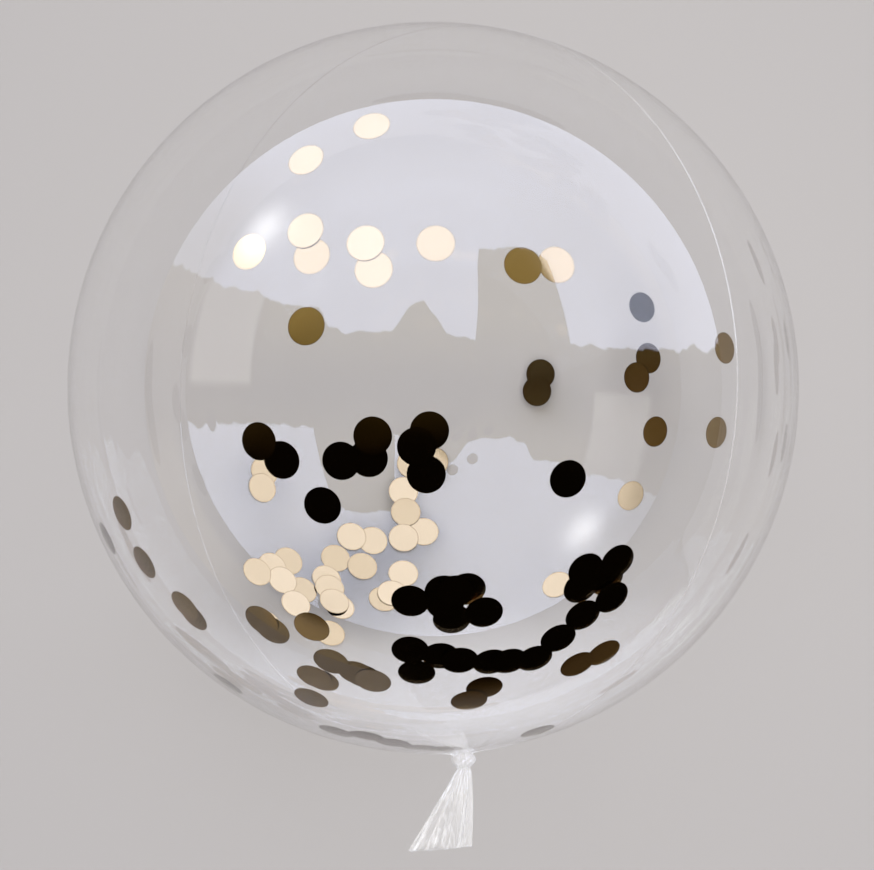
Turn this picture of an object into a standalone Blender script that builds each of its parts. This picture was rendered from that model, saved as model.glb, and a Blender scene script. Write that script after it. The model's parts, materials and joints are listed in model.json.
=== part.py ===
"""Clear bubble balloon, blown up, tied off and lying on its side.

One sealed film envelope: a ball, a pleated funnel that gathers the film into the neck,
the knot tied in that neck, and the neck's free end, which flares past the knot in uneven
flutes. The ball rests on a small flat spot, with its centre over the origin. The neck
points along -Y and a little up, and the floor is the plane Z = 0.

The envelope is sealed, so it is one solid.
"""

import math

import bmesh
import bpy
from mathutils import Matrix, Vector

# Driving dimensions, in metres. Distances down the neck count from the ball's centre.
BALL_RADIUS = 0.280  # a bubble balloon sold as 22 inch, blown up
REST_SPOT_RADIUS = 0.040  # the flat that the ball settles on, so that it doesn't roll
NECK_RISE = math.radians(6.3)  # how far the neck of the lying balloon points above level
FUNNEL_RADIUS = 0.030  # where the funnel leaves the ball
FUNNEL_DROP = 0.0030  # how far the funnel falls on its way to the knot
KNOT_TOP_RADIUS = 0.0072
KNOT_RADIUS = 0.0088
KNOT_LENGTH = 0.0100
TIE_RADIUS = 0.0044  # just below the knot, the thinnest place
TAIL_LENGTH = 0.060
TAIL_RADIUS = 0.0215  # mean radius of the open end
TAIL_FLARE_POWER = 0.90
TAIL_FLATTENING = 0.34  # the end is a fan: its depth is this much less than its width
TAIL_LEAN = 0.024  # sideways swing of the free end, towards -X
TAIL_LEAN_POWER = 1.1
TAIL_DROOP = 0.006  # sag of the free end, towards the floor

# Folds of the gathered film.
PLEATS = 18  # even pleats, round the funnel
PLEAT_REACH = 0.070  # radius on the ball where the last pleat has faded out
PLEAT_DEPTH = 0.0011
KNOT_FOLD_DEPTH = 0.0009
FLUTE_DEPTH = 0.0052  # at the open end of the tail

# Mesh density.
SIDES = 72
BALL_RINGS = 37
FUNNEL_RINGS = 5
KNOT_RINGS = 6
TAIL_RINGS = 13

BALL_HEIGHT = math.sqrt(BALL_RADIUS**2 - REST_SPOT_RADIUS**2)
FUNNEL_START = math.sqrt(BALL_RADIUS**2 - FUNNEL_RADIUS**2)
KNOT_START = FUNNEL_START + FUNNEL_DROP
TAIL_START = KNOT_START + KNOT_LENGTH
TAIL_END = TAIL_START + TAIL_LENGTH

FILM_COLOUR = (0.93, 0.94, 0.95, 1.0)
FILM_ROUGHNESS = 0.06
FILM_METALLIC = 0.0
FILM_ALPHA = 0.22
SHARP_ANGLE = math.radians(50.0)


def clear_scene():
    for obj in list(bpy.data.objects):
        bpy.data.objects.remove(obj, do_unlink=True)


def new_collection(name):
    collection = bpy.data.collections.new(name)
    bpy.context.scene.collection.children.link(collection)
    return collection


def film_material():
    material = bpy.data.materials.new("Clear film")
    material.use_nodes = True
    shader = material.node_tree.nodes["Principled BSDF"]
    shader.inputs["Base Color"].default_value = FILM_COLOUR
    shader.inputs["Roughness"].default_value = FILM_ROUGHNESS
    shader.inputs["Metallic"].default_value = FILM_METALLIC
    shader.inputs["Alpha"].default_value = FILM_ALPHA
    return material


def ball_profile():
    """(radius, depth) down the ball, from its crown to the top of the funnel."""
    last = math.pi - math.asin(FUNNEL_RADIUS / BALL_RADIUS)
    for ring in range(BALL_RINGS + 1):
        angle = last * ring / BALL_RINGS
        yield BALL_RADIUS * math.sin(angle), -BALL_RADIUS * math.cos(angle)


def funnel_profile():
    """A quarter of an ellipse, from along the ball's surface to along the neck."""
    span = FUNNEL_RADIUS - KNOT_TOP_RADIUS
    for ring in range(1, FUNNEL_RINGS + 1):
        angle = 0.5 * math.pi * ring / FUNNEL_RINGS
        radius = FUNNEL_RADIUS - span * math.sin(angle)
        yield radius, FUNNEL_START + FUNNEL_DROP * (1.0 - math.cos(angle))


def knot_profile():
    """A rounded bead that bulges from the funnel's radius and closes to the tie."""
    for ring in range(1, KNOT_RINGS + 1):
        part = ring / KNOT_RINGS
        chord = KNOT_TOP_RADIUS + (TIE_RADIUS - KNOT_TOP_RADIUS) * part
        bulge = (KNOT_RADIUS - TIE_RADIUS) * math.sin(math.pi * part) * 0.8
        yield chord + bulge, KNOT_START + KNOT_LENGTH * part


def tail_profile():
    for ring in range(1, TAIL_RINGS + 1):
        part = ring / TAIL_RINGS
        flare = (TAIL_RADIUS - TIE_RADIUS) * part**TAIL_FLARE_POWER
        yield TIE_RADIUS + flare, TAIL_START + TAIL_LENGTH * part


def turned_envelope(collection):
    """The envelope with no folds yet, turned about Z with its neck down."""
    profile = [*ball_profile(), *funnel_profile(), *knot_profile(), *tail_profile()]
    profile.append((0.0, TAIL_END))
    profile[0] = (0.0, -BALL_RADIUS)
    points = [(radius, 0.0, -depth) for radius, depth in profile]
    edges = [(index, index + 1) for index in range(len(points) - 1)]
    mesh = bpy.data.meshes.new("envelope_profile")
    mesh.from_pydata(points, edges, [])
    outline = bpy.data.objects.new("envelope_profile", mesh)
    collection.objects.link(outline)
    turn = outline.modifiers.new("Turn", "SCREW")
    turn.angle = 2.0 * math.pi
    turn.steps = SIDES
    turn.render_steps = SIDES
    turn.use_merge_vertices = True
    turn.merge_threshold = 0.0001
    graph = bpy.context.evaluated_depsgraph_get()
    turned = bpy.data.meshes.new_from_object(outline.evaluated_get(graph))
    bpy.data.objects.remove(outline, do_unlink=True)
    return turned


def fade(value, start, end):
    """0 at start, 1 at end, with a smooth ramp between them."""
    part = min(max((value - start) / (end - start), 0.0), 1.0)
    return part * part * (3.0 - 2.0 * part)


def uneven_wave(angle):
    """Unequal flutes round the tail, from -1 to 1."""
    return 0.62 * math.cos(7.0 * angle + 0.5) + 0.38 * math.cos(11.0 * angle + 2.2)


def fold_depth(radius, depth, angle):
    """How far the folded film stands out from the turned shape, at this point."""
    if depth <= KNOT_START:
        if depth < 0.0:
            return 0.0
        reach = fade(radius, PLEAT_REACH, KNOT_TOP_RADIUS)
        return PLEAT_DEPTH * reach**2 * math.cos(PLEATS * angle)
    if depth <= TAIL_START:
        twist = 4.0 * math.pi * (depth - KNOT_START) / KNOT_LENGTH / 6.0
        return KNOT_FOLD_DEPTH * math.cos(9.0 * (angle + twist))
    part = (depth - TAIL_START) / TAIL_LENGTH
    return (KNOT_FOLD_DEPTH + (FLUTE_DEPTH - KNOT_FOLD_DEPTH) * part) * uneven_wave(angle)


def fold_film(mesh):
    """Raises the pleats, the knot's folds and the flutes, then swings the tail aside."""
    shape = bmesh.new()
    shape.from_mesh(mesh)
    shape.normal_update()
    places = [(vert, vert.co.copy(), vert.normal.copy()) for vert in shape.verts]
    for vert, place, normal in places:
        radius = math.hypot(place.x, place.y)
        depth = -place.z
        if radius > 0.001:
            angle = math.atan2(place.y, place.x)
            out = normal
            if depth > TAIL_START:
                out = Vector((place.x, place.y, 0.0)) / radius
            vert.co = place + out * fold_depth(radius, depth, angle)
        part = max(depth - TAIL_START, 0.0) / TAIL_LENGTH
        vert.co.y *= 1.0 - TAIL_FLATTENING * fade(part, 0.0, 1.0)
        vert.co.x -= TAIL_LEAN * part**TAIL_LEAN_POWER
        vert.co.y += TAIL_DROOP * part**2
    bmesh.ops.recalc_face_normals(shape, faces=shape.faces)
    shape.to_mesh(mesh)
    shape.free()


def floor_cutter(collection):
    """A slab under the floor, which takes the cap off the ball to leave the flat spot."""
    slab = 0.06
    bpy.ops.mesh.primitive_cube_add(size=1.0, location=(0.0, 0.0, -0.5 * slab))
    cutter = bpy.context.object
    cutter.name = "floor_cutter"
    cutter.scale = (0.4, 0.4, slab)
    for owner in list(cutter.users_collection):
        owner.objects.unlink(cutter)
    collection.objects.link(cutter)
    cutter.hide_render = True
    cutter.display_type = "WIRE"
    return cutter


def build_balloon():
    parts = new_collection("Clear bubble balloon")
    cutters = new_collection("Cutters")
    mesh = turned_envelope(parts)
    mesh.name = "film_envelope"
    fold_film(mesh)
    # The neck turns from straight down to along -Y, and the ball rises onto the floor.
    lay_down = Matrix.Rotation(-0.5 * math.pi - NECK_RISE, 4, "X")
    mesh.transform(Matrix.Translation((0.0, 0.0, BALL_HEIGHT)) @ lay_down)
    mesh.materials.append(film_material())
    envelope = bpy.data.objects.new("film_envelope", mesh)
    parts.objects.link(envelope)
    mesh.shade_smooth()
    mesh.set_sharp_from_angle(angle=SHARP_ANGLE)
    flat = envelope.modifiers.new("Rest spot", "BOOLEAN")
    flat.operation = "DIFFERENCE"
    flat.solver = "EXACT"
    flat.object = floor_cutter(cutters)


clear_scene()
build_balloon()
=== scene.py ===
import json
import math
import random

import bmesh
import bpy
from mathutils import Matrix, Vector


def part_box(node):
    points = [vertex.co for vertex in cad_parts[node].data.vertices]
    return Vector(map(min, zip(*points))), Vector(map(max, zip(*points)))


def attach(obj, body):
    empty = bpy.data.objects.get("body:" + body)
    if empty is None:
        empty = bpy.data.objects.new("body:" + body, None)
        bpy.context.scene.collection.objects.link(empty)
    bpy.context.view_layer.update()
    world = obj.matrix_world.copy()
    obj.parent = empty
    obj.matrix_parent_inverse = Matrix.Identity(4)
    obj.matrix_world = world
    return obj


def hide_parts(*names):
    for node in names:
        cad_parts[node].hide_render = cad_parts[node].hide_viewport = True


# A clear bubble balloon lying on its side: one skin of thin film, tied at the neck,
# with loose gold foil confetti clinging to the inside of the ball.

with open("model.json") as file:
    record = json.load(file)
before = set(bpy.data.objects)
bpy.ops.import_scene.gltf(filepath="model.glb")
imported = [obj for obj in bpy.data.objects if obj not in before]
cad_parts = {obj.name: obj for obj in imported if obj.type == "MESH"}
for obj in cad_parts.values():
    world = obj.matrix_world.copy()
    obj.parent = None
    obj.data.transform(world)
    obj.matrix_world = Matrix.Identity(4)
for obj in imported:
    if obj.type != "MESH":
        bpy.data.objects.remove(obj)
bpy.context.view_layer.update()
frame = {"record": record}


# places that every piece shares, taken from the imported model and the flat spot's given radius

lowCorner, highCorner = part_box("film_envelope")
neckTie = next(mount for mount in frame["record"]["mounts"] if mount["name"] == "neck_tie")
neckWay = Vector(neckTie["axis"]).normalized()
tieDepth = neckTie["pos_m"][1] / neckWay.y
ballCentre = Vector(neckTie["pos_m"]) - neckWay * tieDepth
restSpotRadius = 0.040
ballRadius = math.hypot(ballCentre.z, restSpotRadius)
# from the balloon's own frame, where the neck hangs down -Z, to the balloon lying on the floor
neckRise = math.asin(neckWay.z)
layDown = Matrix.Translation(ballCentre) @ Matrix.Rotation(-0.5 * math.pi - neckRise, 4, "X")


class Wire:
    # a shader socket that can be used in sums, and that adds the nodes it needs

    def __init__(self, tree, socket=None):
        self.tree = tree
        self.socket = socket

    def node(self, kind, settings=None, sockets=None, output=0):
        made = self.tree.nodes.new("ShaderNode" + kind)
        for name, value in (settings or {}).items():
            if name == "stops":
                setStops(made.color_ramp, value)
            else:
                setattr(made, name, value)
        for name, value in (sockets or {}).items():
            if isinstance(value, Wire):
                self.tree.links.new(value.socket, made.inputs[name])
            else:
                made.inputs[name].default_value = value
        return Wire(self.tree, made.outputs[output])

    def math(self, operation, *values):
        return self.node("Math", {"operation": operation}, dict(enumerate(values)))

    def __add__(self, other):
        return self.math("ADD", self, other)

    def __radd__(self, other):
        return self.math("ADD", other, self)

    def __sub__(self, other):
        return self.math("SUBTRACT", self, other)

    def __rsub__(self, other):
        return self.math("SUBTRACT", other, self)

    def __mul__(self, other):
        return self.math("MULTIPLY", self, other)

    def __rmul__(self, other):
        return self.math("MULTIPLY", other, self)

    def __truediv__(self, other):
        return self.math("DIVIDE", self, other)

    def __rtruediv__(self, other):
        return self.math("DIVIDE", other, self)

    def __pow__(self, other):
        return self.math("POWER", self, other)

    def __rpow__(self, other):
        return self.math("POWER", other, self)

    def ramp(self, start, end):
        # 0 at start, 1 at end, with a smooth slope between them
        settings = {"interpolation_type": "SMOOTHSTEP"}
        sockets = {"Value": self, "From Min": start, "From Max": end}
        return self.node("MapRange", settings, sockets)

    def dot(self, direction):
        settings = {"operation": "DOT_PRODUCT"}
        return self.node("VectorMath", settings, {0: self, 1: direction}, output="Value")

    def blend(self, first, second):
        # the colour that this share of the way from first to second gives
        sockets = {0: self, 6: first, 7: second}
        return self.node("Mix", {"data_type": "RGBA"}, sockets, output=2)


def setStops(colorRamp, stops):
    while len(colorRamp.elements) < len(stops):
        colorRamp.elements.new(0.5)
    for element, (place, colour) in zip(colorRamp.elements, stops):
        element.position = place
        element.color = (*colour, 1.0)


def newMaterial(name):
    material = bpy.data.materials.new(name)
    material.use_nodes = True
    tree = material.node_tree
    tree.nodes.clear()
    return material, Wire(tree)


def finishMaterial(net, surface):
    output = net.tree.nodes.new("ShaderNodeOutputMaterial")
    net.tree.links.new(surface.socket, output.inputs["Surface"])


def aroundBall(net):
    # a place on the piece in the balloon's own frame, counted from the ball's centre
    settings = {"vector_type": "TEXTURE"}
    coords = net.node("TexCoord", output="Object")
    turn = (-0.5 * math.pi - neckRise, 0.0, 0.0)
    return net.node("Mapping", settings, {"Vector": coords, "Location": ballCentre, "Rotation": turn})


# clear film: nearly all see-through, mirrors a little head on and far more at a low angle,
# with a faint milky haze and fine stretch lines that run together towards the neck. Extra haze on
# the floor's side is painted light, a painted caustic pool of light. Each pair says where
# something starts and where it is full: Reach counts ball radii from the ball's centre towards the
# neck, and Side is metres from the balloon's middle plane, the floor's side positive.

filmLook = {
    "mirror": 0.042,
    "mirrorRoughness": 0.012,
    "milk": (0.93, 0.91, 0.86, 1.0),
    "neckHaze": 0.06,
    "neckHazeReach": (0.82, 0.93),
    "paintedCausticHaze": 0.09,
    "paintedCausticReach": (0.54, 0.82),
    "paintedCausticSide": (0.02, 0.12),
    # the weld's haze is real milkiness, painted stronger on its top as a painted highlight
    "weldHaze": 0.10,
    "weldMirror": 0.01,
    "weldFaintest": 0.3,
    "weldPaintedHighlightSide": (0.10, -0.04),
    "lineHaze": 0.24,
    "lineReach": (0.93, 1.02),
    "lineContrast": (0.47, 0.72),
    "lineScale": 26.0,
    "lineStretch": 0.06,
    "lineBump": 0.15,
    "lineDepth": 0.0008,
    "gatheredReach": (0.80, 0.83),
}


def stretchLines(net, look, x, y, toNeck):
    # the lines keep their place round the neck all the way down to the open end
    across = net.math("MAXIMUM", (x * x + y * y) ** 0.5, 0.0005)
    sockets = {"X": x / across, "Y": y / across, "Z": toNeck * look["lineStretch"]}
    ring = net.node("CombineXYZ", None, sockets)
    sockets = {"Vector": ring, "Scale": look["lineScale"], "Detail": 4.0, "Roughness": 0.6}
    return net.node("TexNoise", None, sockets)


def coated(net, mirrorShare, haze, clear, milk, shine):
    # see-through film with its haze, under its mirror
    body = net.node("MixShader", None, {0: haze, 1: clear, 2: milk})
    return net.node("MixShader", None, {0: mirrorShare, 1: body, 2: shine})


def filmMaterial(name, welded=False):
    look = filmLook
    white = (1.0, 1.0, 1.0, 1.0)
    material, net = newMaterial(name)
    facing = net.node("LayerWeight", None, {"Blend": 0.5}, output="Facing")
    mirror = look["mirror"] + (look["weldMirror"] if welded else 0.0)
    mirrorShare = mirror + (1.0 - mirror) * facing ** 5.0
    split = net.node("SeparateXYZ", None, {0: aroundBall(net)})
    x, y, z = [Wire(net.tree, split.socket.node.outputs[axis]) for axis in range(3)]
    toNeck = z / -ballRadius
    lines = stretchLines(net, look, x, y, toNeck)
    nearNeck = toNeck.ramp(*look["lineReach"])
    # painted light: extra milky haze on the floor's side, part way towards the neck, stands in for a
    # caustic pool of light
    under = look["paintedCausticHaze"] * toNeck.ramp(*look["paintedCausticReach"])
    under = under * y.ramp(*look["paintedCausticSide"])
    haze = under + look["neckHaze"] * toNeck.ramp(*look["neckHazeReach"])
    haze = haze + look["lineHaze"] * lines.ramp(*look["lineContrast"]) * nearNeck
    if welded:
        # the weld's haze is painted stronger on the top, a painted highlight where the light catches
        # it, and stays fainter on the floor's side
        faintest = look["weldFaintest"]
        haze = haze + look["weldHaze"] * (faintest + (1.0 - faintest) * y.ramp(*look["weldPaintedHighlightSide"]))
    sockets = {"Strength": look["lineBump"], "Distance": look["lineDepth"],
               "Height": lines * nearNeck}
    bump = net.node("Bump", None, sockets)
    clear = net.node("BsdfTransparent", None, {"Color": white})
    milk = net.node("BsdfDiffuse", None, {"Color": look["milk"]})
    shine = net.node("BsdfAnisotropic", None, {"Color": white, "Roughness": 0.0})
    stretched = coated(net, mirrorShare, under, clear, milk, shine)
    milk = net.node("BsdfDiffuse", None, {"Color": look["milk"], "Normal": bump})
    sockets = {"Color": white, "Roughness": look["mirrorRoughness"], "Normal": bump}
    shine = net.node("BsdfAnisotropic", None, sockets)
    gathered = coated(net, mirrorShare, haze, clear, milk, shine)
    share = 1.0 if welded else toNeck.ramp(*look["gatheredReach"])
    finishMaterial(net, net.node("MixShader", None, {0: share, 1: stretched, 2: gathered}))
    return material


# gold foil: each disc has a shade and a slight wave of its own, and at a low angle its colour
# is painted darker, a painted shade in what it mirrors

foilLook = {
    "gold": (0.475, 0.37, 0.23, 1.0),
    "deepGold": (0.395, 0.30, 0.173, 1.0),
    "slantPaintedShade": (0.345, 0.245, 0.12, 1.0),
    "deepSlantPaintedShade": (0.215, 0.145, 0.07, 1.0),
    "rimGold": (0.28, 0.20, 0.11, 1.0),
    "lowAngleTint": (0.20, 0.15, 0.09, 1.0),
    "paintedShadeFacing": (0.32, 0.48),
    "rimReach": (0.92, 1.0),
    "roughness": 0.08,
    "roughnessSpread": 0.04,
    "waveScale": 20.0,
    "waveHeight": 0.0016,
    "waveSpread": 40.0,
}


def foilMaterial():
    material, net = newMaterial("gold foil")
    look = foilLook
    shade = net.node("Attribute", {"attribute_name": "discShade"}, output="Fac")
    sockets = {"Vector": aroundBall(net), "W": shade * look["waveSpread"],
               "Scale": look["waveScale"], "Detail": 0.5}
    wave = net.node("TexNoise", {"noise_dimensions": "4D"}, sockets)
    sockets = {"Strength": 1.0, "Distance": look["waveHeight"], "Height": wave}
    bump = net.node("Bump", None, sockets)
    facing = net.node("LayerWeight", None, {"Blend": 0.5}, output="Facing")
    colour = shade.blend(look["gold"], look["deepGold"])
    # painted shade: at a low angle the colour turns darker, standing in for darker surroundings in
    # the foil's mirror, with a random tone per disc
    paintedSlantShade = shade.blend(look["slantPaintedShade"], look["deepSlantPaintedShade"])
    colour = facing.ramp(*look["paintedShadeFacing"]).blend(colour, paintedSlantShade)
    rim = net.node("Attribute", {"attribute_name": "discRim"}, output="Fac")
    colour = rim.ramp(*look["rimReach"]).blend(colour, look["rimGold"])
    sockets = {"Base Color": colour, "Metallic": 1.0, "Normal": bump,
               "Roughness": look["roughness"] + look["roughnessSpread"] * shade,
               "Specular Tint": look["lowAngleTint"]}
    finishMaterial(net, net.node("BsdfPrincipled", None, sockets))
    return material


def addPiece(shape, name, material, slot, smoothAngle=40.0):
    mesh = bpy.data.meshes.new(name)
    shape.to_mesh(mesh)
    shape.free()
    mesh.materials.append(material)
    mesh.shade_smooth()
    mesh.set_sharp_from_angle(angle=math.radians(smoothAngle))
    piece = bpy.data.objects.new(name, mesh)
    bpy.context.scene.collection.objects.link(piece)
    if slot == "clear_film":
        # with a shadow of its own, the film darkens the weld's underside in a render
        piece.visible_shadow = False
        piece.visible_diffuse = False
    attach(piece, "root")
    return piece


# the skin: ball, pleated funnel, knot and the flared free end, blown and tied from one film

skinShape = {
    "sides": 216,
    "filmThickness": 0.00025,
    "settleSoftness": 0.0006,
    "funnelRadius": 0.030,
    "knotTopRadius": 0.0072,
    "knotRadius": 0.0088,
    "knotLength": 0.0100,
    "knotBulge": 0.8,
    "tieRadius": 0.0044,
    "tailLength": 0.060,
    "tailRadius": 0.0215,
    "tailFlarePower": 0.90,
    "tailFlattening": 0.34,
    "tailLean": 0.024,
    "tailLeanPower": 1.1,
    "tailDroop": 0.006,
    "ballRings": 96,
    "funnelRings": 16,
    "knotRings": 12,
    "tailRings": 40,
}
# a wave is its share of the depth, its folds round the neck and, for the flutes, its turn in
# radians. Lengths are in metres and the knot's twist in degrees.
skinFolds = {
    "pleatReach": 0.070,
    "pleatDepth": 0.0011,
    "pleats": (0.75, 18.0),
    "pleatWander": (0.5, 3.0),
    "finePleats": (0.35, 31.0),
    "knotFolds": 9.0,
    "knotFoldDepth": 0.0009,
    "knotTwist": 120.0,
    "fluteDepth": 0.0052,
    "flutes": [(0.62, 7.0, 0.5), (0.38, 11.0, 2.2)],
    "fluteCreases": [(0.22, 19.0, 1.0), (0.14, 37.0, 0.3)],
}


def fade(value, start, end):
    part = min(max((value - start) / (end - start), 0.0), 1.0)
    return part * part * (3.0 - 2.0 * part)


def skinProfile(s):
    # (radius, depth) pairs from the crown down to the open end, with the neck down
    funnelStart = math.sqrt(ballRadius**2 - s["funnelRadius"] ** 2)
    knotStart = tieDepth - s["knotLength"]
    last = math.pi - math.asin(s["funnelRadius"] / ballRadius)
    profile = []
    for ring in range(s["ballRings"] + 1):
        angle = last * ring / s["ballRings"]
        profile.append((ballRadius * math.sin(angle), -ballRadius * math.cos(angle)))
    for ring in range(1, s["funnelRings"] + 1):
        angle = 0.5 * math.pi * ring / s["funnelRings"]
        radius = s["funnelRadius"] - (s["funnelRadius"] - s["knotTopRadius"]) * math.sin(angle)
        profile.append((radius, funnelStart + (knotStart - funnelStart) * (1.0 - math.cos(angle))))
    for ring in range(1, s["knotRings"] + 1):
        part = ring / s["knotRings"]
        chord = s["knotTopRadius"] + (s["tieRadius"] - s["knotTopRadius"]) * part
        bulge = s["knotBulge"] * (s["knotRadius"] - s["tieRadius"]) * math.sin(math.pi * part)
        profile.append((chord + bulge, knotStart + s["knotLength"] * part))
    for ring in range(1, s["tailRings"] + 1):
        part = ring / s["tailRings"]
        flare = (s["tailRadius"] - s["tieRadius"]) * part ** s["tailFlarePower"]
        profile.append((s["tieRadius"] + flare, tieDepth + s["tailLength"] * part))
    return profile


def crease(angle):
    # like a cosine, with straight flanks and crisp folds
    return math.asin(math.cos(angle)) * 2.0 / math.pi


def pleatWave(angle):
    # the main pleats stand a little unevenly, with finer ones between them
    wander, bends = skinFolds["pleatWander"]
    share, count = skinFolds["pleats"]
    fineShare, fineCount = skinFolds["finePleats"]
    main = share * crease(count * angle + wander * math.sin(bends * angle))
    return main + fineShare * crease(fineCount * angle)


def fluteWave(angle):
    slow = sum(share * math.cos(count * angle + turn) for share, count, turn in skinFolds["flutes"])
    fine = sum(share * crease(count * angle + turn)
               for share, count, turn in skinFolds["fluteCreases"])
    return slow + fine


def foldDepth(radius, depth, angle):
    s, f = skinShape, skinFolds
    knotStart = tieDepth - s["knotLength"]
    if depth <= knotStart:
        if depth < 0.0:
            return 0.0
        reach = fade(radius, f["pleatReach"], s["knotTopRadius"])
        return f["pleatDepth"] * reach**2 * pleatWave(angle)
    if depth <= tieDepth:
        twist = math.radians(f["knotTwist"]) * (depth - knotStart) / s["knotLength"]
        return f["knotFoldDepth"] * crease(f["knotFolds"] * (angle + twist))
    part = (depth - tieDepth) / s["tailLength"]
    return (f["knotFoldDepth"] + (f["fluteDepth"] - f["knotFoldDepth"]) * part) * fluteWave(angle)


def foldSkin(shape):
    # raises the folds, then swings the free end aside
    s = skinShape
    shape.normal_update()
    places = [(vert, vert.co.copy(), vert.normal.copy()) for vert in shape.verts]
    for vert, place, normal in places:
        radius = math.hypot(place.x, place.y)
        depth = -place.z
        if radius < 0.0005:
            continue
        out = Vector((place.x, place.y, 0.0)) / radius if depth > tieDepth else normal
        vert.co = place + out * foldDepth(radius, depth, math.atan2(place.y, place.x))
        part = max(depth - tieDepth, 0.0) / s["tailLength"]
        vert.co.y *= 1.0 - s["tailFlattening"] * fade(part, 0.0, 1.0)
        vert.co.x -= s["tailLean"] * part ** s["tailLeanPower"]
        vert.co.y += s["tailDroop"] * part**2


def settle(shape):
    # the film flattens where the ball rests on the floor
    soft = skinShape["settleSoftness"]
    for vert in shape.verts:
        if vert.co.z < 4.0 * soft:
            vert.co.z = 0.5 * (vert.co.z + math.sqrt(vert.co.z**2 + soft**2))


def makeSkin(material):
    s = skinShape
    shape = bmesh.new()
    chain = [shape.verts.new((radius, 0.0, -depth)) for radius, depth in skinProfile(s)]
    edges = [shape.edges.new(pair) for pair in zip(chain, chain[1:])]
    bmesh.ops.spin(shape, geom=chain + edges, cent=(0, 0, 0), axis=(0, 0, 1),
                   angle=2.0 * math.pi, steps=s["sides"], use_merge=True)
    bmesh.ops.remove_doubles(shape, verts=shape.verts, dist=0.00001)
    bmesh.ops.recalc_face_normals(shape, faces=shape.faces)
    foldSkin(shape)
    bmesh.ops.transform(shape, matrix=layDown, verts=shape.verts)
    settle(shape)
    shape.normal_update()
    if crownFace(shape).normal.y < 0.0:
        bmesh.ops.reverse_faces(shape, faces=shape.faces)
    skin = addPiece(shape, "film_skin", material, "clear_film")
    wall = skin.modifiers.new("wall", "SOLIDIFY")
    wall.thickness = s["filmThickness"]
    return skin


def crownFace(shape):
    return max(shape.faces, key=lambda face: face.calc_center_median().y)


# the weld: a narrow raised bead that runs round the ball through crown and neck

weldShape = {
    "longitude": 50.0,
    "width": 0.0018,
    "height": 0.0003,
    "lift": 0.00005,
    "neckGap": 5.0,
    "sides": 8,
    "steps": 240,
}


def makeWeld(material):
    w = weldShape
    shape = bmesh.new()
    place = Matrix.Translation((0.0, 0.0, -ballRadius - w["lift"]))
    place = place @ Matrix.Rotation(0.5 * math.pi, 4, "Y")
    bmesh.ops.create_circle(shape, cap_ends=False, segments=w["sides"], radius=1.0)
    bmesh.ops.scale(shape, vec=(0.5 * w["height"], 0.5 * w["width"], 1.0), verts=shape.verts)
    bmesh.ops.transform(shape, matrix=place, verts=shape.verts)
    start = Matrix.Rotation(math.radians(w["neckGap"]), 4, "Y")
    bmesh.ops.transform(shape, matrix=start, verts=shape.verts)
    bmesh.ops.spin(shape, geom=shape.verts[:] + shape.edges[:], cent=(0, 0, 0), axis=(0, 1, 0),
                   angle=math.radians(360.0 - 2.0 * w["neckGap"]), steps=w["steps"])
    bmesh.ops.holes_fill(shape, edges=shape.edges, sides=w["sides"])
    turn = Matrix.Rotation(math.radians(w["longitude"] - 90.0), 4, "Z")
    bmesh.ops.transform(shape, matrix=layDown @ turn, verts=shape.verts)
    settle(shape)
    bmesh.ops.recalc_face_normals(shape, faces=shape.faces)
    return addPiece(shape, "weld_seam", material, "clear_film", smoothAngle=20.0)


# confetti: (longitude, latitude) in degrees on the ball. Longitude 0 is the top of the lying
# balloon and 180 its underside, and latitude counts from the waist towards the crown. A third
# number is how many degrees a disc on the underside is tipped off the skin, towards lying level.

discShape = {
    "radius": 0.0131,
    "thickness": 0.00008,
    "sides": 32,
    "gap": 0.00042,
    "pileStep": 0.0006,
    "lowest": 0.001,
    "tilt": 1.0,
}
confettiLay = {
    "confetti_crown": [(-7, 35), (-18, 30), (-26, 16), (-17, 18), (-16, 14), (-8, 15), (-7, 11),
                       (2, 14), (14, 10), (19, 10), (-17, 4)],
    "confetti_waist": [(-26, -11), (-23, -14), (-14, -15), (-9, -12), (-10, -15), (-3, -14),
                       (-1, -12), (-2, -18), (-18, -21), (19, -20)],
    "confetti_middle": [(-7, -37), (-1, -38), (-1, -36), (1, -36), (3, -36), (0, -41), (6, -40)],
    "confetti_arc": [(-9, -46), (-9, -51), (-3, -48), (1, -49), (8, -50), (12, -50), (18, -50),
                     (22, -46), (26, -42), (24, -34), (24, -37), (30, -33), (29, -36), (31, -39),
                     (3, -59), (7, -56), (30, -52), (36, -50)],
    "confetti_left": [(-73, -21), (-60, -18), (-60, -26), (-55, -34), (-55, -36), (-71, -50),
                      (-41, -55), (-37, -38), (-36, -40), (-27, -40), (-34, -50), (-33, -51),
                      (-27, -47), (-23, -50), (-22, -51), (-20, -52)],
    "confetti_neck": [(-54, -66), (-44, -69), (-38, -73), (-32, -78), (-15, -80), (44, -73)],
    "confetti_under_left": [(-147, -7), (-146, -10), (-175, -7), (-179, -7), (-173, -12),
                            (-173, -16), (-176, -20), (-172, -21), (-166, -21), (-162, -20),
                            (-158, -24), (-163, -26), (-171, -28), (-168, -32), (-166, -33),
                            (-148, -24), (-144, -25, 2), (-140, -26, 6), (-145, -28, 4), (-149, -30),
                            (-146, -33, 5), (-155, -28), (-155, -30), (-156, -34), (-155, -33),
                            (-151, -40, 8), (-136, -37, 10)],
    "confetti_under_right": [(143, -17), (157, -33), (160, 7), (161, 4), (138, 7), (141, 4),
                             (138, -6), (123, -8, 2), (119, 6), (137, 16)],
}


def onBall(longitude, latitude):
    # unit vector from the ball's centre, as the balloon lies
    lon, lat = math.radians(longitude), math.radians(latitude)
    level = Vector((math.sin(lon) * math.cos(lat), -math.cos(lon) * math.cos(lat), math.sin(lat)))
    return layDown.to_3x3() @ level


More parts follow.
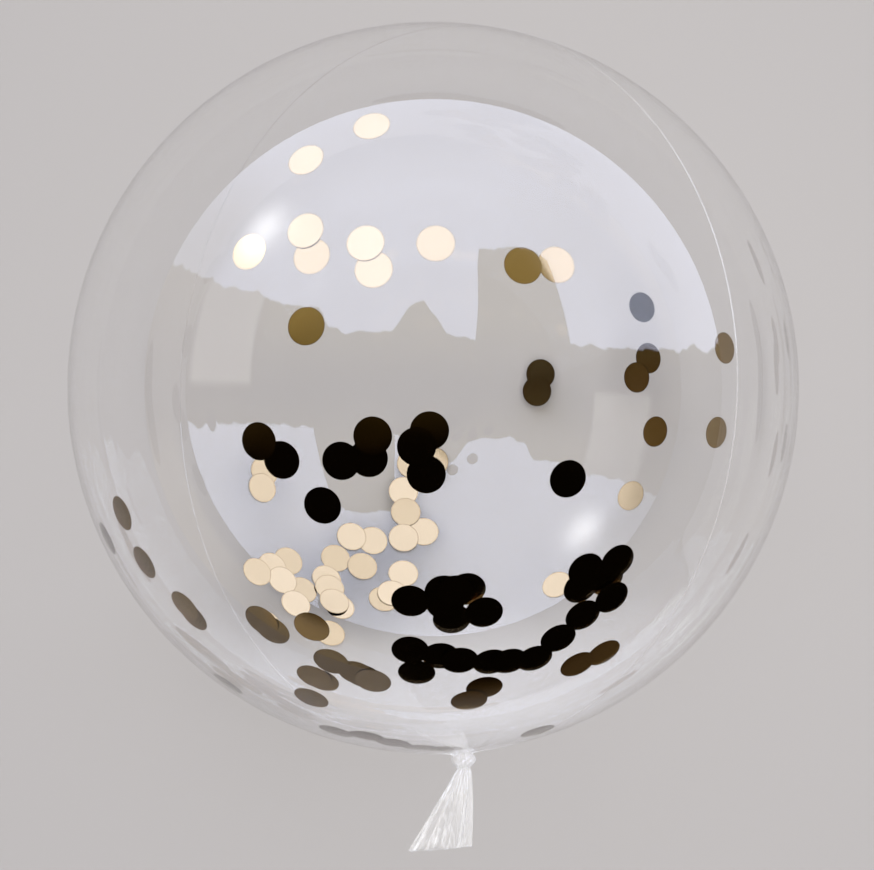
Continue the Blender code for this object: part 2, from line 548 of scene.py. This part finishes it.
def makeConfetti(name, spots, material, chance, laid):
    d = discShape
    shape = bmesh.new()
    shade = shape.faces.layers.float.new("discShade")
    rim = shape.verts.layers.float.new("discRim")
    sag = d["radius"] ** 2 / (2.0 * ballRadius)
    inner = math.sqrt((ballRadius - skinShape["filmThickness"]) ** 2 - d["radius"] ** 2)
    for longitude, latitude, *lean in spots:
        out = onBall(longitude, latitude)
        # overlapping discs never share a level of the pile
        taken = {level for other, level in laid
                 if (other - out).length * ballRadius < 2.0 * d["radius"]}
        pile = min(set(range(len(taken) + 1)) - taken)
        laid.append((out, pile))
        lean = math.radians(sum(lean))
        tilt = Matrix.Rotation(math.radians(chance.uniform(-d["tilt"], d["tilt"])), 4, "X")
        spin = Matrix.Rotation(chance.uniform(0.0, 2.0 * math.pi), 4, "Z")
        height = inner - d["gap"] - d["thickness"] - pile * d["pileStep"]
        height -= d["radius"] * math.sin(lean)
        centre = ballCentre + out * height
        centre.z = max(centre.z, d["lowest"] + pile * d["pileStep"])
        facing = Matrix.Rotation(lean, 3, out.cross((0.0, 0.0, -1.0))) @ out
        turn = facing.to_track_quat("Z", "Y").to_matrix().to_4x4()
        matrix = Matrix.Translation(centre) @ turn @ spin @ tilt
        made = bmesh.ops.create_cone(shape, cap_ends=True, cap_tris=True, segments=d["sides"],
                                     radius1=d["radius"], radius2=d["radius"],
                                     depth=d["thickness"])["verts"]
        # the middle bulges a little, as the skin does
        for vert in made:
            vert[rim] = 1.0
            if math.hypot(vert.co.x, vert.co.y) < 0.5 * d["radius"]:
                vert[rim] = 0.0
                vert.co.z += sag
        bmesh.ops.transform(shape, matrix=matrix, verts=made)
        tone = chance.random()
        for face in {face for vert in made for face in vert.link_faces}:
            face[shade] = tone
    return addPiece(shape, name, material, "gold_foil", smoothAngle=30.0)


# camera: looks straight down on the lying balloon, slightly rolled

viewLook = {"roll": 4.6, "distance": 7.0, "ballShare": 0.8375, "sensor": 36.0}
roll = math.radians(viewLook["roll"])
viewFrom = Vector((0.0, 0.0, 1.0))
viewUp = Vector((math.sin(roll), math.cos(roll), 0.0))
viewRight = Vector((math.cos(roll), -math.sin(roll), 0.0))


def makeCamera():
    v = viewLook
    data = bpy.data.cameras.new("camera")
    camera = bpy.data.objects.new("camera", data)
    bpy.context.scene.collection.objects.link(camera)
    camera.location = ballCentre + viewFrom * v["distance"] * ballRadius
    aim = Vector((0.0, 0.5 * (lowCorner.y + highCorner.y), ballCentre.z))
    back = (camera.location - aim).normalized()
    right = viewUp.cross(back).normalized()
    turn = Matrix((right, back.cross(right), back)).transposed().to_4x4()
    camera.matrix_world = Matrix.Translation(camera.location) @ turn
    data.sensor_width = v["sensor"]
    data.lens = 0.5 * v["ballShare"] * v["sensor"] * math.sqrt(v["distance"] ** 2 - 1.0)
    bpy.context.scene.camera = camera


# light: the world is painted with one wide soft sky panel on the crown's side, with a dark uneven
# edge below it like a row of roofs, and a dark room on the neck's side. It lights the pieces and
# shows in mirrors, while the camera itself sees a plain backdrop. Rise, side and out are shares
# of a direction along viewUp, viewRight and viewFrom, headings are in radians to the right, and
# each pair says where something starts and where it is full.

roomLook = {
    "sky": (2.25, 2.42, 3.05, 1.0),
    "skyLeft": (1.20, 1.26, 1.50, 1.0),
    "skyLeftSide": (-0.50, -0.88),
    "skyLeftOut": (0.30, 0.06),
    "glow": (4.3, 4.3, 4.2, 1.0),
    "glowRight": -0.70,
    "glowUp": 0.66,
    "glowOut": 0.27,
    "glowTightness": 190.0,
    "edgeScale": 9.0,
    "edgeRoughness": 4.0,
    "edgeSoftness": 0.4,
    "farLeft": (-0.72, -0.98),
    "dusk": (0.50, 0.40, 0.155, 1.0),
    "duskLeft": (0.27, 0.20, 0.09, 1.0),
    "duskRise": (0.0, 0.40),
    "fronts": (1.15, 1.05, 0.96, 1.0),
    "frontsRight": (-0.96, -1.0),
    "frontsLeft": (-1.42, -1.34),
    "frontsRise": (-0.02, 0.05),
    "shade": (0.042, 0.027, 0.006, 1.0),
    "shadeLeft": (0.13, 0.085, 0.035, 1.0),
    "shadeRise": (-0.30, -0.05),
    "dark": (0.003, 0.002, 0.001, 1.0),
    "dimGround": (0.11, 0.075, 0.035, 1.0),
    "dimGroundOut": (-0.20, -0.34),
    "leftGround": (0.42, 0.34, 0.22, 1.0),
    "leftGroundSide": (-0.15, -0.35),
    "leftGroundOut": (0.12, 0.03),
    "cloudScale": 2.2,
    "cloudSpread": 0.16,
    "backdrop": (0.50, 0.48, 0.46, 1.0),
}
# how high the panel's lower edge stands, in degrees, for whole degrees to the right
roofs = [(-99, 26), (-58, 25), (-48, 23), (-36, 23), (-33, 18), (-27, 16), (-12, 17), (-8, 24),
         (-3, 27), (4, 16), (13, 14), (16, 42), (36, 41), (41, 36), (42, 12), (63, 10), (99, 8)]


def aboveRoofs(net, heading, rise):
    # degrees above the roof line
    r = roomLook
    sockets = {"W": heading, "Scale": r["edgeScale"], "Detail": 6.0}
    rough = net.node("TexNoise", {"noise_dimensions": "1D"}, sockets)
    stops = [((right + 180.0) / 360.0, [height / 90.0] * 3) for right, height in roofs]
    part = heading / (2.0 * math.pi) + 0.5
    edge = net.node("ValToRGB", {"stops": stops}, {"Fac": part}) * 90.0
    edge = edge + r["edgeRoughness"] * (rough - 0.5)
    return net.math("ARCSINE", rise) * (180.0 / math.pi) - edge


def skyLight(net, way, side, out):
    # the panel, with one brighter patch, and dimmer far out on the left
    r = roomLook
    glowWay = (viewRight * r["glowRight"] + viewUp * r["glowUp"]
               + viewFrom * r["glowOut"]).normalized()
    glow = net.math("MAXIMUM", way.dot(glowWay), 0.0) ** r["glowTightness"]
    brightest = [first + second for first, second in zip(r["sky"][:3], r["glow"][:3])]
    sky = glow.blend(r["sky"], (*brightest, 1.0))
    left = side.ramp(*r["skyLeftSide"]) * out.ramp(*r["skyLeftOut"])
    return left.blend(sky, r["skyLeft"])


def roomLight(net, rise, side, out, heading):
    # everything below the roof line
    r = roomLook
    farLeft = side.ramp(*r["farLeft"])
    # pale house fronts stand in one stretch on the left
    fronts = heading.ramp(*r["frontsRight"]) * heading.ramp(*r["frontsLeft"])
    fronts = fronts * rise.ramp(*r["frontsRise"])
    dusk = fronts.blend(farLeft.blend(r["dusk"], r["duskLeft"]), r["fronts"])
    shade = farLeft.blend(r["shade"], r["shadeLeft"])
    ground = out.ramp(*r["dimGroundOut"]).blend(r["dark"], r["dimGround"])
    left = side.ramp(*r["leftGroundSide"]) * out.ramp(*r["leftGroundOut"])
    ground = left.blend(ground, r["leftGround"])
    low = rise.ramp(*r["shadeRise"]).blend(ground, shade)
    return net.math("MAXIMUM", rise.ramp(*r["duskRise"]), fronts).blend(low, dusk)


def makeRoom():
    r = roomLook
    world = bpy.data.worlds.new("room")
    bpy.context.scene.world = world
    world.use_nodes = True
    tree = world.node_tree
    tree.nodes.clear()
    net = Wire(tree)
    way = net.node("TexCoord", output="Generated")
    rise, side, out = way.dot(viewUp), way.dot(viewRight), way.dot(viewFrom)
    heading = net.math("ARCTAN2", side, out)
    soft = r["edgeSoftness"]
    aboveEdge = aboveRoofs(net, heading, rise).ramp(-soft, soft)
    seen = aboveEdge.blend(roomLight(net, rise, side, out, heading), skyLight(net, way, side, out))
    clouds = net.node("TexNoise", None, {"Vector": way, "Scale": r["cloudScale"], "Detail": 3.0})
    strength = 1.0 + r["cloudSpread"] * (clouds - 0.5)
    shown = net.node("LightPath", output="Is Camera Ray").blend(seen, r["backdrop"])
    background = net.node("Background", None, {"Color": shown, "Strength": strength})
    output = tree.nodes.new("ShaderNodeOutputWorld")
    tree.links.new(background.socket, output.inputs["Surface"])


# floor: a wide pale sheet, cut back on the right of the neck, where mirrors show the room's dark

floorLook = {
    "colour": (0.372, 0.348, 0.319, 1.0),
    "reach": 3.4,
    "shortReach": 1.1,
    "shortSide": 154.0,
    "shortSpread": (27.0, 35.0),
    "cornerDrop": 0.0005,
}


def makeFloor(name, material, shortReach, drop=0.0):
    look = floorLook
    shape = bmesh.new()
    rim = bmesh.ops.create_circle(shape, cap_ends=True, segments=180, radius=1.0)["verts"]
    for vert in rim:
        heading = math.degrees(math.atan2(vert.co.dot(viewRight), vert.co.dot(viewUp)))
        offSide = abs((heading - look["shortSide"] + 180.0) % 360.0 - 180.0)
        vert.co *= shortReach + (look["reach"] - shortReach) * fade(offSide, *look["shortSpread"])
        vert.co.z = -drop
    mesh = bpy.data.meshes.new(name)
    shape.to_mesh(mesh)
    shape.free()
    mesh.materials.append(material)
    floor = bpy.data.objects.new(name, mesh)
    bpy.context.scene.collection.objects.link(floor)
    return floor


def makeFloors():
    look = floorLook
    material, net = newMaterial("pale floor")
    finishMaterial(net, net.node("BsdfDiffuse", None, {"Color": look["colour"]}))
    makeFloor("floor", material, look["shortReach"])
    # a lower sheet that mirrors don't show fills the side that is cut back
    corner = makeFloor("floor_corner", material, look["reach"], drop=look["cornerDrop"])
    corner.visible_glossy = False


lampLook = {"power": 35.0, "right": 0.1, "up": 0.0, "height": 1.8, "size": 1.8}


def makeLamp():
    look = lampLook
    data = bpy.data.lights.new("overhead", "AREA")
    data.shape = "DISK"
    data.size = look["size"]
    data.energy = look["power"]
    lamp = bpy.data.objects.new("overhead", data)
    lamp.location = (viewRight * look["right"] + viewUp * look["up"]
                     + viewFrom * look["height"])
    lamp.visible_glossy = False
    lamp.visible_camera = False
    bpy.context.scene.collection.objects.link(lamp)


print("camera, room and floor")
makeCamera()
makeRoom()
makeFloors()
makeLamp()
bpy.context.scene.view_settings.view_transform = "Standard"

print("film")
skin = makeSkin(filmMaterial("clear film"))
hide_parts("film_envelope")
makeWeld(filmMaterial("welded film", welded=True))

print("confetti")
goldFoil = foilMaterial()
chance = random.Random(22)
laid = []
for name, spots in confettiLay.items():
    makeConfetti(name, spots, goldFoil, chance, laid)
